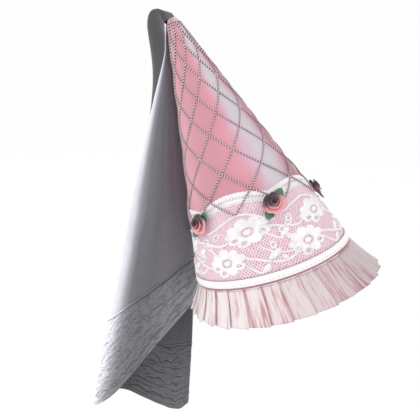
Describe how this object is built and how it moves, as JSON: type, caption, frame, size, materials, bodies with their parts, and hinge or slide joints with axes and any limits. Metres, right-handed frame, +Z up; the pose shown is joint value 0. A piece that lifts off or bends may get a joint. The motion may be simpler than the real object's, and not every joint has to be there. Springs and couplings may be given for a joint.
{
  "type": "cone hat with veil",
  "caption": "Tall pink satin cone hat leaning back, netted with twisted cord, with a lace band, sewn roses, a pleated ruffle round the brim and a lace-edged veil falling from its tip.",
  "frame": {"origin": "middle of the head opening, where the brim ring sits on the wearer's head", "axes": "+Z up as worn, the wearer faces -Y, the cone leans back towards +Y, +X is the wearer's left"},
  "size_m": [0.2222, 0.3793, 0.5833],
  "materials": {
    "pink_satin": "satin",
    "silver_pink_cord": "matte",
    "white_lace_on_pink": "matte",
    "white_ribbon": "satin",
    "rose_rope": "matte",
    "rose_white_satin": "satin",
    "rose_petal": "matte",
    "leaf_green": "matte",
    "white_voile": "matte",
    "white_veil_lace": "matte"
  },
  "bodies": {
    "root": {"cone_shell": "pink_satin", "cord_net": "silver_pink_cord", "heading_ribbon": "white_ribbon", "lace_band": "white_lace_on_pink", "leaf_1a": "leaf_green", "leaf_1b": "leaf_green", "leaf_2a": "leaf_green", "leaf_2b": "leaf_green", "leaf_3a": "leaf_green", "leaf_3b": "leaf_green", "leaf_4a": "leaf_green", "leaf_4b": "leaf_green", "leaf_5a": "leaf_green", "leaf_5b": "leaf_green", "pleated_ruffle": "rose_white_satin", "rope_piping": "rose_rope", "rose_1": "rose_petal", "rose_2": "rose_petal", "rose_3": "rose_petal", "rose_4": "rose_petal", "rose_5": "rose_petal", "veil_border": "white_veil_lace", "veil_cloth": "white_voile"}
  },
  "joints": []
}
